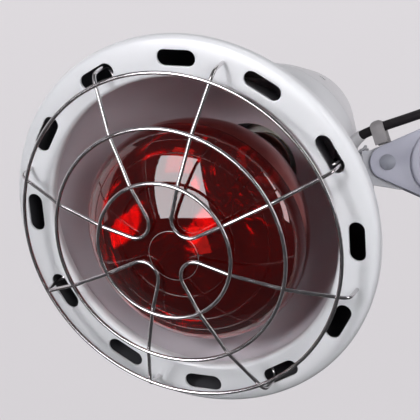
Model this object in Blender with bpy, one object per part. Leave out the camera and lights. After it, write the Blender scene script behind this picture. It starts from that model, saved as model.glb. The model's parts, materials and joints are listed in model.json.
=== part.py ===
"""Infrared heat lamp head on a two-pivot friction joint with a short arm.

Metres, +Z up. The origin is the centre of the arm's flat end face, +X points out of that
face, and the lamp hangs off the other end of the arm, towards -X and -Y.
"""

from math import atan2, copysign, cos, degrees, hypot, pi, radians, sin, tan

import bmesh
import bpy
from mathutils import Vector, geometry

MM = 0.001
GAP = 0.3  # between touching solids, in millimetres like every length from here on

# Driving dimensions
ARM_REACH = 130.0  # arm end face to the big friction pivot
CHEEK_PITCH = 34.0  # big pivot to the rivet
SWIVEL_OUT = 80.4  # rivet to the lamp's own axis, along the swivel axis
SWIVEL_BACK = 96.0  # swivel axis behind the rim plane
YOKE_TURN = 24.7  # degrees from the arm to the swivel axis, about the vertical
LAMP_DROP = 21.6  # degrees that the beam falls below the horizontal
BULB_LEAN = (1.6, 1.1)  # degrees that the sprung lampholder lets the bulb droop

BRACKET_FACE = 67.5  # the swivel joint's plane, from the lamp's axis

RIM_R = 106.0
OPENING_R = 83.5
SHEET = 1.3
SLOT_R, SLOT_LENGTH, SLOT_WIDTH, SLOT_FIRST = 94.4, 21.4, 9.0, 25.0
COLLAR_R = 52.6
CAP_FRONT, CAP_BACK = -127.5, -182.0
VENT_R, VENT_Z, VENT_FIRST = 2.4, -150.0, 52.0
SCREW_X = 14.0

BULB_R, BULB_DOME = 62.5, 31.5
SOCKET_Z = -126.0

WIRE_R = 1.0
GUARD_RINGS = ((91.7, 18.2), (65.6, 30.2), (37.8, 35.9))  # radius, height before the rim
LOOP_SPREAD = 24.0  # degrees from a loop's middle to each leg
LOOP_CENTRE = 22.0  # middle of a loop's rounded tip, from the lamp's axis

CHEEK_IN, CHEEK_OUT = 6.5, 9.0
SMALL_END, BIG_END, DISC_R = 9.9, 23.5, 21.0
TUBE_R = 9.5

CORD_R = 2.75
COIL_HALF = 8.5
COIL_X, COIL_Z, COIL_R = 90.0, -49.0, 30.0  # from the rivet, in the plane of the cheeks
LEAD_SPACING = {"lead_head": 3.0, "lead_cheek": 6.0, "lead_arm": 12.0, "lead_tail": 10.0}
BOOT_BASE, BOOT_AIM = Vector((-22.3, 18.4, 5.4)), Vector((0.40, -0.74, 0.54)).normalized()
LEAD_BEND, BEND_REACH = Vector((-14.4, 3.7, 16.1)), 7.6  # where the two straights would meet
CLIP_HEIGHT, CLIP_SIDE = 9.3, CORD_R + 1.75
CLIP_POINT, CLIP_LEAN, CLIP_YAW = Vector((-4.2, 0.0, 19.7)), 18.0, -20.0
REAR_CLIP_POINT, REAR_CLIP_LEAN = Vector((34.0, 0.0, 31.0)), 6.0


# ---------------------------------------------------------------- helpers

def clear_scene():
    for obj in list(bpy.data.objects):
        bpy.data.objects.remove(obj, do_unlink=True)


def material(name, colour, roughness, metallic=0.0):
    made = bpy.data.materials.new(name)
    made.use_nodes = True
    shader = made.node_tree.nodes["Principled BSDF"]
    shader.inputs["Base Color"].default_value = (*colour, 1.0)
    shader.inputs["Roughness"].default_value = roughness
    shader.inputs["Metallic"].default_value = metallic
    return made


def empty(name, parent=None, location=(0, 0, 0), rotation=(0, 0, 0)):
    """An axis or a frame that pieces hang from. Millimetres and degrees."""
    obj = bpy.data.objects.new(name, None)
    bpy.context.scene.collection.objects.link(obj)
    place(obj, parent, location, rotation)
    return obj


def place(obj, parent, location=(0, 0, 0), rotation=(0, 0, 0)):
    obj.parent = parent
    obj.location = Vector(location) * MM
    obj.rotation_euler = [radians(a) for a in rotation]


def finish_mesh(name, bm, finish, parent, location=(0, 0, 0), rotation=(0, 0, 0)):
    bmesh.ops.remove_doubles(bm, verts=bm.verts, dist=1e-7)
    bmesh.ops.recalc_face_normals(bm, faces=bm.faces)
    mesh = bpy.data.meshes.new(name)
    bm.to_mesh(mesh)
    bm.free()
    mesh.shade_smooth()
    mesh.set_sharp_from_angle(angle=radians(35))
    obj = bpy.data.objects.new(name, mesh)
    bpy.context.scene.collection.objects.link(obj)
    if finish:
        obj.data.materials.append(MATERIALS[finish])
    place(obj, parent, location, rotation)
    return obj


def turned(name, profile, finish, parent, location=(0, 0, 0), rotation=(0, 0, 0), steps=16):
    """A profile of (radius, height) turned about local Z: a closed loop, or ends on the axis."""
    bm = bmesh.new()
    points = [bm.verts.new((r * MM, 0, z * MM)) for r, z in profile]
    ring = list(zip(points, points[1:]))
    if profile[0][0] > 0 or profile[-1][0] > 0:
        ring.append((points[-1], points[0]))
    edges = [bm.edges.new(pair) for pair in ring]
    bmesh.ops.spin(
        bm, geom=points + edges, cent=(0, 0, 0), axis=(0, 0, 1), dvec=(0, 0, 0),
        angle=2 * pi, steps=steps, use_merge=True, use_duplicate=False,
    )
    return finish_mesh(name, bm, finish, parent, location, rotation)


def wall(outer, thickness):
    """The closed loop of a sheet whose outer side is the given (radius, height) points."""
    inner = []
    for i, (r, z) in enumerate(outer):
        before, after = outer[max(i - 1, 0)], outer[min(i + 1, len(outer) - 1)]
        along = Vector((after[0] - before[0], after[1] - before[1])).normalized()
        inner.append((max(r + along.y * thickness, 0.0), z - along.x * thickness))
    return list(outer) + inner[::-1]


def add_prism(bm, outline, low, high):
    """An outline of (x, y) extruded along Z."""
    base = [bm.verts.new((x * MM, y * MM, low * MM)) for x, y in outline]
    face = bm.faces.new(base)
    up = bmesh.ops.extrude_face_region(bm, geom=[face])["geom"]
    tops = [v for v in up if isinstance(v, bmesh.types.BMVert)]
    bmesh.ops.translate(bm, verts=tops, vec=(0, 0, (high - low) * MM))
    return base + tops


def prism(name, outline, low, high, finish, parent, location=(0, 0, 0), rotation=(0, 0, 0)):
    bm = bmesh.new()
    add_prism(bm, outline, low, high)
    return finish_mesh(name, bm, finish, parent, location, rotation)


def box(name, low, high, finish, parent, location=(0, 0, 0), rotation=(0, 0, 0)):
    outline = [(low[0], low[1]), (high[0], low[1]), (high[0], high[1]), (low[0], high[1])]
    return prism(name, outline, low[2], high[2], finish, parent, location, rotation)


def rod(name, radius, low, high, finish, parent, location=(0, 0, 0), rotation=(0, 0, 0), steps=16):
    profile = [(0, low), (radius, low), (radius, high), (0, high)]
    return turned(name, profile, finish, parent, location, rotation, steps)


def washer(name, inner, outer, low, high, finish, parent, rotation, location=(0, 0, 0)):
    loop = [(inner, low), (outer, low), (outer, high), (inner, high)]
    return turned(name, loop, finish, parent, location, rotation)


def arc(centre, radius, start, end, count):
    """Points along a circle, from one angle in degrees to another."""
    angles = [radians(start + (end - start) * i / (count - 1)) for i in range(count)]
    return [(centre[0] + radius * cos(a), centre[1] + radius * sin(a)) for a in angles]


def boolean(obj, operation, *others):
    """Joins or cuts with pieces that then stay hidden as its guides."""
    for other in others:
        other.hide_render = True
        other.display_type = "WIRE"
        made = obj.modifiers.new(other.name, "BOOLEAN")
        made.object = other
        made.operation = operation
        made.solver = "EXACT"
    return obj


def smooth_route(points, spacing):
    """Evenly spaced points on a smooth curve through the given ones."""
    fine = []
    ends = [2 * points[0] - points[1], *points, 2 * points[-1] - points[-2]]
    for before, a, b, after in zip(ends, ends[1:], ends[2:], ends[3:]):
        reach = (b - a).length / 3
        a_out = a + (b - before).normalized() * reach
        b_in = b - (after - a).normalized() * reach
        fine += geometry.interpolate_bezier(a, a_out, b_in, b, 33)[:-1]
    fine.append(points[-1])
    length = sum((q - p).length for p, q in zip(fine, fine[1:]))
    step = length / max(round(length / spacing), 2)
    route, run = [fine[0]], 0.0
    for p, q in zip(fine, fine[1:]):
        piece = (q - p).length
        while run + piece >= step * len(route) and step * len(route) < length - step / 2:
            route.append(p.lerp(q, (step * len(route) - run) / piece))
        run += piece
    return [*route, fine[-1]]


def tube(name, points, radius, finish, parent, sides=2, cyclic=False):
    """A round wire or cord along the points, with filled ends."""
    curve = bpy.data.curves.new(name, "CURVE")
    curve.dimensions = "3D"
    curve.bevel_depth = radius * MM
    curve.bevel_resolution = sides
    curve.use_fill_caps = True
    spline = curve.splines.new("POLY")
    spline.points.add(len(points) - 1)
    for point, place_at in zip(spline.points, points):
        point.co = (*(Vector(place_at) * MM), 1.0)
    spline.use_cyclic_u = cyclic
    spline.use_smooth = True
    curve.materials.append(MATERIALS[finish])
    obj = bpy.data.objects.new(name, curve)
    bpy.context.scene.collection.objects.link(obj)
    place(obj, parent)
    return obj


def polar(radius, angle, height):
    return Vector((radius * cos(radians(angle)), radius * sin(radians(angle)), height))


# ---------------------------------------------------------------- shade

def shade_outer():
    return [(104.0, -4.0), (101.8, -12.0), (56.4, -95.4), (54.0, -99.0), (52.9, -103.0),
            (COLLAR_R, -108.0), (COLLAR_R, CAP_FRONT + GAP)]


def front_ring(lamp):
    """The spun ring that closes the shade's front, with twelve cooling slots."""
    skirt, flat, lip = RIM_R, 1.2, OPENING_R
    profile = [
        (skirt - 0.3, -6.0), (skirt, -2.6), (skirt - 1.0, -0.5), (skirt - 3.4, 0.9), (skirt - 6.5, flat),
        (lip + 2.0, flat), (lip, -1.0), (lip, -4.5),
    ]
    ring = turned("front_ring", wall(profile, -SHEET), "white_paint", lamp, steps=48)
    bm = bmesh.new()
    half = SLOT_LENGTH / 2 - SLOT_WIDTH / 2
    for k in range(12):
        ends = arc((0, half), SLOT_WIDTH / 2, 0, 180, 5) + arc((0, -half), SLOT_WIDTH / 2, 180, 360, 5)
        middle = polar(SLOT_R, SLOT_FIRST + 30 * k, 0)
        turn = radians(SLOT_FIRST + 30 * k)
        outline = [(middle.x + x * cos(turn) - y * sin(turn), middle.y + x * sin(turn) + y * cos(turn))
                   for x, y in ends]
        add_prism(bm, outline, -3.0, 4.0)
    boolean(ring, "DIFFERENCE", finish_mesh("slot_cutter", bm, None, lamp))


def shade(lamp):
    shell = turned("outer_shade", wall(shade_outer(), 1.4), "white_paint", lamp, steps=40)
    hole = rod("gland_cutter", 6.0, -6, 12, None, lamp.parent.parent, BOOT_BASE, aim(BOOT_AIM))
    boolean(shell, "DIFFERENCE", hole)
    bowl = [(84.6, -5.0), (81.6, -19.0), (73.2, -41.0), (60.2, -62.0), (43.5, -81.0), (27.0, -92.0)]
    turned("inner_reflector", wall(bowl, -1.0), "reflector_paint", lamp, steps=36)


def rear_cap(lamp):
    """A vented cup with a lip that enters the shade's collar."""
    lip = COLLAR_R - 1.4 - 0.5
    outside = [(COLLAR_R - 0.2, CAP_FRONT), (49.2, -140.0), (37.2, -170.0), (33.4, -179.0), (27.0, CAP_BACK)]
    inside = [(25.6, CAP_BACK + 1.8), (31.6, -177.6), (35.4, -169.6), (47.3, -139.7), (lip - 1.6, -127.0),
              (lip - 1.6, -121.0)]
    profile = [(0, CAP_BACK + 1.8)] + inside + [(lip, -121.0), (lip, CAP_FRONT)] + outside
    cap = turned("rear_cap", profile + [(0, CAP_BACK)], "cap_paint", lamp, steps=32)
    cutters = []
    for k in range(6):
        angle = VENT_FIRST + 60 * k
        cutters.append(rod(f"vent_cutter_{k}", VENT_R, -8, 8, None, lamp,
                           polar(44.3, angle, VENT_Z), (0, 68, angle), steps=10))
    for k, x in enumerate((-SCREW_X, SCREW_X)):
        cutters.append(rod(f"screw_cutter_{k}", 2.2, -6, 6, None, lamp, (x, 0, CAP_BACK), steps=12))
    boolean(cap, "DIFFERENCE", *cutters)


def cap_screws(lamp):
    for k, x in enumerate((-SCREW_X, SCREW_X), 1):
        head = CAP_BACK - GAP
        profile = [(0, head - 2.2), (2.2, head - 2.0), (3.4, head - 1.2), (3.8, head),
                   (1.8, head), (1.8, CAP_BACK + 11), (0, CAP_BACK + 11)]
        turned(f"cap_screw_{k}", profile, "bright_steel", lamp, (x, 0, 0), steps=16)


# ---------------------------------------------------------------- lampholder and bulb

def lampholder(lamp, axis):
    """Ceramic Edison-screw holder that droops with the bulb, on a strap and two stand-offs."""
    front, back = -113.0 - SOCKET_Z, -147.0 - SOCKET_Z
    cup = [(14.7, front), (19.0, front), (20.0, front - 1.5), (20.0, back + 4), (17.0, back), (2.0, back),
           (2.0, back + 4.3), (14.7, back + 4.3)]
    turned("lampholder_body", cup, "ceramic", axis)
    shell = [(13.9, front - 1), (14.35, front - 1), (14.35, front - 26), (13.9, front - 26)]
    turned("lampholder_shell", shell, "brass", axis)
    rod("centre_contact", 3.6, back + 4.6, back + 5.3, "brass", axis, steps=16)
    strap = -148.4
    box("holder_strap", (-19, -6, strap - 2.0), (19, 6, strap), "zinc_steel", lamp)
    foot, head = CAP_BACK + 4.0, strap - 2.0 - GAP
    for k, x in enumerate((-SCREW_X, SCREW_X), 1):
        loop = [(2.2, foot), (3.4, foot), (3.4, head), (2.2, head)]
        turned(f"holder_standoff_{k}", loop, "zinc_steel", lamp, (x, 0, 0), steps=12)
    box("terminal_block", (-9, -5, strap - 14), (9, 5, strap - 4), "ceramic", lamp)


def bulb_outline():
    """Radius and height of the glass behind its widest circle, in the lamp's heights."""
    return [(BULB_R, 0.0), (60.6, -13.0), (53.6, -31.0), (42.6, -49.0), (30.6, -68.0), (22.4, -86.0),
            (19.4, -101.0), (17.2, -105.5)]


def bulb(axis):
    lift = -SOCKET_Z
    dome = []
    for k in range(8):
        r = BULB_R * cos(radians(90 * k / 7)) if k < 7 else 0.0
        dome.append((r, BULB_DOME * (1 - (r / BULB_R) ** 2.2) ** 0.5 + GAP + lift))
    inner = [(max(r - 1.1, 0) if k < 7 else 0, z - (0 if k == 0 else 1.1)) for k, (r, z) in enumerate(dome)]
    turned("bulb_front_glass", dome + inner[::-1], "red_glass", axis, steps=36)
    rear = [(r, z + lift) for r, z in bulb_outline()]
    turned("bulb_rear_glass", wall(rear, 1.0), "mirror_glass", axis, steps=36)
    cap = [(11.0, -106.0), (16.6, -106.0), (16.6, -108.5), (13.1, -112.5)]
    for k in range(4):
        top = -114.0 - 5.4 * k
        cap += [(13.1, top), (12.3, top - 2.7)]
    cap += [(12.6, -134.5), (9.5, -136.0), (9.5, -134.5), (11.0, -133.0)]
    turned("bulb_screw_cap", [(r, z + lift) for r, z in cap], "nickel", axis, steps=16)
    seat = [(0, -139.2), (4.6, -139.2), (9.0, -136.4), (9.0, -134.0), (0, -134.0)]
    turned("bulb_insulator", [(r, z + lift) for r, z in seat], "black_glass", axis, steps=16)
    tip = [(0, -141.0), (2.8, -140.7), (4.2, -139.5), (0, -139.5)]
    turned("bulb_contact", [(r, z + lift) for r, z in tip], "solder", axis, steps=16)
    stem = [(0, -40.0), (3.2, -40.6), (3.6, -44.0), (3.6, -84.0), (8.0, -104.0), (0, -104.0)]
    turned("bulb_stem", [(r, z + lift) for r, z in stem], "clear_glass", axis, steps=16)
    coil = [polar(11.0, 30 + 300 * k / 24, lift - 22.0 + 1.5 * (-1) ** k) for k in range(25)]
    tube("bulb_filament", coil, 0.7, "tungsten", axis, sides=1)
    for k, angle in enumerate((30, 330), 1):
        route = [polar(4.6, angle, lift - 47), polar(8.0, angle, lift - 38),
                 polar(11.0, angle, lift - 25.5)]
        tube(f"bulb_support_{k}", route, 0.6, "nickel", axis, sides=1)


# ---------------------------------------------------------------- wire guard

def guard_height(radius):
    """Height of a loop's wire under the rings, at a radius: straight between the rings."""
    under = [(r, z - 2 * WIRE_R - GAP) for r, z in GUARD_RINGS] + [(0.0, 33.9)]
    for (r1, z1), (r0, z0) in zip(under, under[1:]):
        if radius >= r0:
            return z0 + (z1 - z0) * (radius - r0) / (r1 - r0)
    return under[-1][1]


def guard_leg(angle, hooked):
    """From near the middle out to a foot on the ring, or a hook through a slot."""
    radii = (28.0, 37.8, 47.0, 56.0, 65.6, 74.0, 83.0, 89.5)
    leg = [polar(r, angle, guard_height(r)) for r in radii]
    leg += [polar(93.6, angle, 15.2), polar(96.3, angle, 12.4), polar(97.0, angle, 8.5)]
    if hooked:
        leg += [polar(r, angle, z) for r, z in ((96.9, 0.6), (96.0, -2.4), (93.8, -4.0), (90.5, -3.9))]
    else:
        leg += [polar(97.2, angle, 1.2 + GAP)]
    return leg


def guard(lamp):
    names = ("outer", "middle", "inner")
    for name, (radius, height), count in zip(names, GUARD_RINGS, (48, 40, 32)):
        circle = [polar(radius, 360 * k / count, height) for k in range(count)]
        tube(f"guard_ring_{name}", circle, WIRE_R, "chrome", lamp, sides=1, cyclic=True)
    turn = LOOP_CENTRE * sin(radians(LOOP_SPREAD))
    for k in range(4):
        middle = 45 + 90 * k
        first = guard_leg(middle - LOOP_SPREAD, hooked=True)
        last = guard_leg(middle + LOOP_SPREAD, hooked=False)
        bend_at = polar(LOOP_CENTRE, middle, 0)
        swing = 90 - LOOP_SPREAD
        bend = [bend_at + polar(turn, middle + 180 + swing * (1 - i / 5), 0) for i in range(11)]
        for point in bend:
            point.z = guard_height(hypot(point.x, point.y))
        tube(f"guard_loop_{k + 1}", first[::-1] + bend + last, WIRE_R, "chrome", lamp, sides=1)


# ---------------------------------------------------------------- bracket, yoke and cheeks

def mount_bracket(lamp):
    """A folded channel on the side of the shade, with the swivel's hole in its outer face."""
    front, rear, low, high = -81.0, -104.0, -19.0, 8.0
    channel = box("mount_bracket", (48, low, rear), (BRACKET_FACE, high, front), "grey_paint", lamp)
    inner_face = (BRACKET_FACE - 2, high + 5, front - 2)
    hollow = box("channel_cutter", (40, low - 5, rear + 2), inner_face, None, lamp)
    skin = [(0, 10)] + [(r + GAP, z) for r, z in [(107, 10), *shade_outer()]] + [(0, -130)]
    body = turned("shade_cutter", skin, None, lamp, steps=40)
    hole = rod("stud_cutter", 4.3, 60, 80, None, lamp, (0, 0, -SWIVEL_BACK), (0, 90, 0), steps=16)
    notch = rod("lead_notch_cutter", 6.4, -14, 24, None, lamp.parent.parent, BOOT_BASE, aim(BOOT_AIM))
    boolean(channel, "DIFFERENCE", hollow, body, hole, notch)


def rounded(corners):
    """An outline whose (x, y, radius) corners are rounded by short arcs."""
    outline = []
    for i, (x, y, radius) in enumerate(corners):
        here = Vector((x, y))
        back = (Vector(corners[i - 1][:2]) - here).normalized()
        on = (Vector(corners[(i + 1) % len(corners)][:2]) - here).normalized()
        half = back.angle(on) / 2
        middle = here + (back + on).normalized() * radius / sin(half)
        first = here + back * radius / tan(half) - middle
        last = here + on * radius / tan(half) - middle
        start = atan2(first.y, first.x)
        sweep = (atan2(last.y, last.x) - start + pi) % (2 * pi) - pi
        outline += arc(middle, radius, degrees(start), degrees(start + sweep), 5)
    return outline


def yoke(lamp, tilt, swivel):
    """A plate on the bracket, a tongue between the cheeks, and the stud that the lamp swivels on."""
    land = Vector((cos(radians(CLIP_LEAN)), sin(radians(CLIP_LEAN))))
    under = CLIP_POINT.xz + land.orthogonal() * -(CLIP_HEIGHT + 3 * GAP)
    right, left = under + land * 5.6, under - land * 6.0
    corners = [(-14.0, -11.6, 0.5), (10.0, -15.6, 1.5), (10.0, 5.0, 2.0), (*right, 1.5), (*left, 1.0),
               (-9.0, 6.9, 0.5), (-14.0, 6.4, 0.5)]
    tongue = prism("yoke", rounded(corners), -5.0, 5.0, "grey_paint", tilt, rotation=(90, 0, 0))
    near = BRACKET_FACE + GAP
    face = [(-17.6, -99.5), (-17.6, -87.0), (-12.6, -82.0), (7.6, -82.0), (7.6, -99.5)]
    plate = prism("yoke_plate", face, near, near + 2.2, None, lamp, rotation=(90, 0, 90))
    stud = rod("yoke_stud", 3.9, -SWIVEL_OUT + near - 8.4, -9.5, None, swivel, rotation=(0, 90, 0))
    behind = box("yoke_back_cutter", (-40, -30, -30), (near - SWIVEL_OUT, 30, 30), None, swivel)
    hole = rod("rivet_cutter_yoke", 3.2, -12, 12, None, tilt, rotation=(90, 0, 0))
    relief = rod("cheek_relief", SMALL_END + 0.5, -15, -5.0, None, tilt, rotation=(90, 0, 0))
    boolean(tongue, "DIFFERENCE", behind)
    boolean(tongue, "UNION", plate, stud)
    boolean(tongue, "DIFFERENCE", hole, relief)


def swivel_hardware(lamp):
    inside = BRACKET_FACE - 2 - GAP
    across = [(5.4 * cos(radians(60 * k)), 5.4 * sin(radians(60 * k))) for k in range(6)]
    nut = prism("swivel_nut", across, inside - 5.0, inside - 0.9, "zinc_steel", lamp,
                (0, 0, -SWIVEL_BACK), (0, 90, 0))
    bore = rod("nut_cutter", 4.2, 50, 75, None, lamp, (0, 0, -SWIVEL_BACK), (0, 90, 0), steps=16)
    boolean(nut, "DIFFERENCE", bore)
    washer("swivel_spring_washer", 4.2, 5.7, inside - 0.6, inside, "bright_steel", lamp,
           (0, 90, 0), (0, 0, -SWIVEL_BACK))


def teardrop(count=15):
    """Two circles and their common tangents: the cheek's outline, in x and z."""
    lean = 90 + 180 / pi * atan2(BIG_END - SMALL_END, (CHEEK_PITCH ** 2 - (BIG_END - SMALL_END) ** 2) ** 0.5)
    return (arc((0, 0), SMALL_END, lean, 360 - lean, count)
            + arc((CHEEK_PITCH, 0), BIG_END, -lean, lean, 2 * count - 1))


def cheeks(tilt):
    """Two teardrop plates on the arm's pivot: the rivet end is at the frame's origin."""
    outline = [(x, -z) for x, z in teardrop()]
    for name, low, high in (("cheek_near", -CHEEK_OUT, -CHEEK_IN), ("cheek_far", CHEEK_IN, CHEEK_OUT)):
        plate = prism(name, outline, -high, -low, "lavender_paint", tilt, rotation=(90, 0, 0))
        rivet = rod(f"{name}_rivet_cutter", 3.2, -14, 14, None, tilt, rotation=(90, 0, 0), steps=16)
        bolt = rod(f"{name}_bolt_cutter", 4.4, -14, 14, None, tilt, (CHEEK_PITCH, 0, 0), (90, 0, 0), steps=16)
        boolean(plate, "DIFFERENCE", rivet, bolt)
    head = CHEEK_OUT + GAP
    rivet_side = [(2.9, 0), (2.9, head), (4.4, head), (4.4, head + 0.9), (3.3, head + 1.5), (0, head + 1.7)]
    profile = [(r, -z) for r, z in rivet_side[:0:-1]] + rivet_side[1:]
    turned("tilt_rivet", profile, "rivet_steel", tilt, rotation=(90, 0, 0), steps=16)


def friction_washers(tilt, pivot):
    for parent, name, inner, outer in ((tilt, "tilt", 3.3, 8.0), (pivot, "pivot", 4.4, 13.0)):
        for side, low in (("near", 5.15), ("far", -6.35)):
            washer(f"{name}_washer_{side}", inner, outer, low, low + 1.2, "nylon", parent, (90, 0, 0))


def pivot_hardware(pivot, knob_axis):
    """Cover disc on the near side, and the bolt that the hand knob tightens from the far side."""
    face = CHEEK_OUT + GAP
    cover = [(0, face), (DISC_R, face), (DISC_R, face + 1.8), (DISC_R - 0.8, face + 2.6),
             (DISC_R - 3.0, face + 2.8), (0, face + 3.0)]
    turned("disc_cover", cover, "lavender_paint", pivot, rotation=(90, 0, 0), steps=32)
    rod("pivot_bolt", 4.0, -19.0, CHEEK_OUT - 0.2, "bright_steel", pivot, rotation=(90, 0, 0))
    lobes = []
    for k in range(48):
        angle = 7.5 * k
        lobes.append(tuple(polar(16.2 + 1.8 * cos(radians(6 * angle)), angle, 0).xy))
    knob = prism("clamp_knob", lobes, 12.0, 24.0, "black_plastic", knob_axis, rotation=(-90, 0, 0))
    hub = rod("knob_hub", 8.0, face + 1.5, 14.0, None, knob_axis, rotation=(-90, 0, 0))
    bore = rod("knob_bore", 4.3, 5.0, 20.0, None, knob_axis, rotation=(-90, 0, 0))
    boolean(knob, "UNION", hub)
    boolean(knob, "DIFFERENCE", bore)
    washer("knob_washer", 4.4, 9.0, face, face + 1.2, "bright_steel", pivot, (-90, 0, 0))


# ---------------------------------------------------------------- arm

def arm(pivot):
    """Knuckle, tube and end spigot, all in line with the pivot."""
    knuckle = rod("arm_knuckle", 14.0, -5.0, 5.0, "grey_paint", pivot, rotation=(90, 0, 0), steps=24)
    neck = box("knuckle_neck", (0, -5.0, -7.0), (28, 5.0, 7.0), None, pivot)
    barrel = [(0, 25), (6, 25), (11.0, 29), (11.5, 31), (11.5, 36), (7.7, 36), (7.7, 50), (0, 50)]
    collar = turned("knuckle_collar", barrel, None, pivot, rotation=(0, 90, 0))
    bore = rod("knuckle_bore", 4.4, -12, 12, None, pivot, rotation=(90, 0, 0), steps=16)
    boolean(knuckle, "UNION", neck, collar)
    boolean(knuckle, "DIFFERENCE", bore)
    shoulder = ARM_REACH - 35.0
    pipe = [(8.0, 36 + GAP), (TUBE_R, 36 + GAP), (TUBE_R, shoulder - GAP), (8.0, shoulder - GAP)]
    turned("arm_tube", pipe, "grey_paint", pivot, rotation=(0, 90, 0), steps=20)
    spigot = [(0, shoulder - 14), (7.7, shoulder - 14), (7.7, shoulder), (TUBE_R, shoulder),
              (TUBE_R, shoulder + 3), (8.0, shoulder + 3), (8.0, shoulder + 15), (7.0, shoulder + 16),
              (7.0, shoulder + 20), (8.0, shoulder + 21), (8.0, ARM_REACH - 1), (7.0, ARM_REACH),
              (0, ARM_REACH)]
    turned("end_spigot", spigot, "bright_steel", pivot, rotation=(0, 90, 0), steps=20)


# ---------------------------------------------------------------- supply lead

def aim(direction):
    """Degrees that turn local Z to the direction."""
    return [a * 180 / pi for a in Vector(direction).to_track_quat("Z", "Y").to_euler()]


def heading(lean, yaw=0.0):
    level = cos(radians(lean))
    return Vector((level * cos(radians(yaw)), level * sin(radians(yaw)), sin(radians(lean))))


def arch(name, point, lean, yaw, height, foot, parent):
    """A strap bent over the cord, with two feet that reach out where there is room for them."""
    inner, outer = CORD_R + 0.45, CLIP_SIDE
    top = arc((0, 0), outer, 0, 180, 9)
    under = arc((0, 0), inner, 180, 0, 9)
    outline = [(foot, -height), (foot, 1.4 - height), (outer, 1.4 - height), *top, (-outer, 1.4 - height),
               (-foot, 1.4 - height), (-foot, -height), (-inner, -height), *under, (inner, -height)]
    prism(name, outline, -3.75, 3.75, "clip_plastic", parent, point, (90 - lean, 0, 90 + yaw))


def tangent_at_boot():
    """Middle of the bend between the boot's straight and the front clip, and the heading there."""
    ahead = heading(CLIP_LEAN, CLIP_YAW)
    start, end = LEAD_BEND - BOOT_AIM * BEND_REACH, LEAD_BEND + ahead * BEND_REACH
    return (start + 2 * LEAD_BEND + end) / 4, (BOOT_AIM + ahead).normalized()


def lead_ends(tilt):
    """Gland in the shade's collar, and the tapered boot that bends with the lead."""
    washer("lead_gland", 3.1, 5.6, -1.6, 1.4, "clip_plastic", tilt, aim(BOOT_AIM), BOOT_BASE)
    middle, ahead = tangent_at_boot()
    route = [BOOT_BASE + BOOT_AIM * (1.4 + GAP), BOOT_BASE + BOOT_AIM * 6, LEAD_BEND - BOOT_AIM * BEND_REACH,
             middle - ahead * 1.5, middle]
    boot = tube("lead_boot", smooth_route(route, 2.0), CORD_R, "boot_rubber", tilt)
    points = boot.data.splines[0].points
    for k, point in enumerate(points):
        point.radius = 1.9 - 0.9 * k / (len(points) - 1)


def lead_routes():
    """The cord's free stretches, each ending inside the piece that holds it."""
    front, rear = heading(CLIP_LEAN, CLIP_YAW), heading(REAR_CLIP_LEAN)
    middle, ahead = tangent_at_boot()
    head = [middle + ahead * 0.4, middle + ahead * 2, LEAD_BEND + front * BEND_REACH,
            CLIP_POINT - front * 0.2]
    cheek = [CLIP_POINT + front * 0.2, CLIP_POINT + front * 5, Vector((9.8, -2.4, 24.4)),
             Vector((18.6, -1.2, 27.4)), REAR_CLIP_POINT - rear * 7, REAR_CLIP_POINT - rear * 0.2]
    outer = COIL_R + COIL_HALF + CORD_R + 0.8
    along = [REAR_CLIP_POINT + rear * 0.2, REAR_CLIP_POINT + rear * 7, Vector((50, 2.6, 29.4)),
             Vector((60, 7.4, 24.0)), Vector((70, 11.2, 16.4)), Vector((80, 12.9, 8.4)),
             Vector((92, 13.0, 1.6)), Vector((104, 12.9, -5.6)), Vector((116.5, 12.2, -15.0)),
             Vector((126, 8.0, -28.0)),
             Vector((COIL_X + outer, 2 * CORD_R, COIL_Z + 6)), Vector((COIL_X + outer, 4, COIL_Z - 2))]
    inner = COIL_R - 2 * CORD_R
    tail = [Vector((COIL_X + inner, -COIL_HALF - CORD_R - 2 * GAP, COIL_Z - 8)), Vector((114.0, -12.2, -70)),
            Vector((113.2, -12.2, -84)), Vector((112.4, -10.8, -98)), Vector((112, -8.5, -112)),
            Vector((112, -8.0, -124.0))]
    return {"lead_head": head, "lead_cheek": cheek, "lead_arm": along, "lead_tail": tail}


def lead(tilt):
    for name, route in lead_routes().items():
        tube(name, smooth_route(route, LEAD_SPACING[name]), CORD_R, "cord_black", tilt)
    half, low, high = COIL_HALF, COIL_R - COIL_HALF, COIL_R + COIL_HALF
    ring = [(low, half - 2), (low + 2, half), (high - 2, half), (high, half - 2),
            (high, 2 - half), (high - 2, -half), (low + 2, -half), (low, 2 - half)]
    turned("lead_coil", ring, "cord_black", tilt, (COIL_X, 0, COIL_Z), (90, 0, 0), steps=28)
    corners = [(-11.4, -30.4, 5.0), (17.4, -30.4, 5.0), (17.4, 11.8, 5.0), (-11.4, 11.8, 5.0)]
    inset = [(x - copysign(1.2, x), z - copysign(1.2, z), 4.0) for x, z, _ in corners]
    strap = prism("coil_tie", rounded(corners), COIL_X - 6, COIL_X + 6, "tie_fabric", tilt,
                  rotation=(90, 0, 90))
    gap = prism("tie_cutter", rounded(inset), COIL_X - 12, COIL_X + 12, None, tilt, rotation=(90, 0, 90))
    boolean(strap, "DIFFERENCE", gap)


def plug(tilt):
    """A moulded two-pin plug hanging from the lead's end, pins down."""
    at = (112.0, -8.0, -124.0 - GAP)
    body = [(-14.0, -8.0, 5.0), (14.0, -8.0, 5.0), (14.0, 8.0, 5.0), (-14.0, 8.0, 5.0)]
    block = prism("plug_body", rounded(body), -40.0, -14.0, "black_plastic", tilt, at)
    neck = turned("plug_neck", [(0, -16), (7.5, -16), (7.0, -12), (4.2, 0), (0, 0)], None, tilt, at)
    boolean(block, "UNION", neck)
    for k, x in enumerate((-9.5, 9.5), 1):
        rod(f"plug_pin_{k}", 2.4, -59.0, -40.0 - GAP, "nickel", tilt, (at[0] + x, at[1], at[2]), steps=12)


# ---------------------------------------------------------------- assembly

MATERIALS = {}


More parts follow.
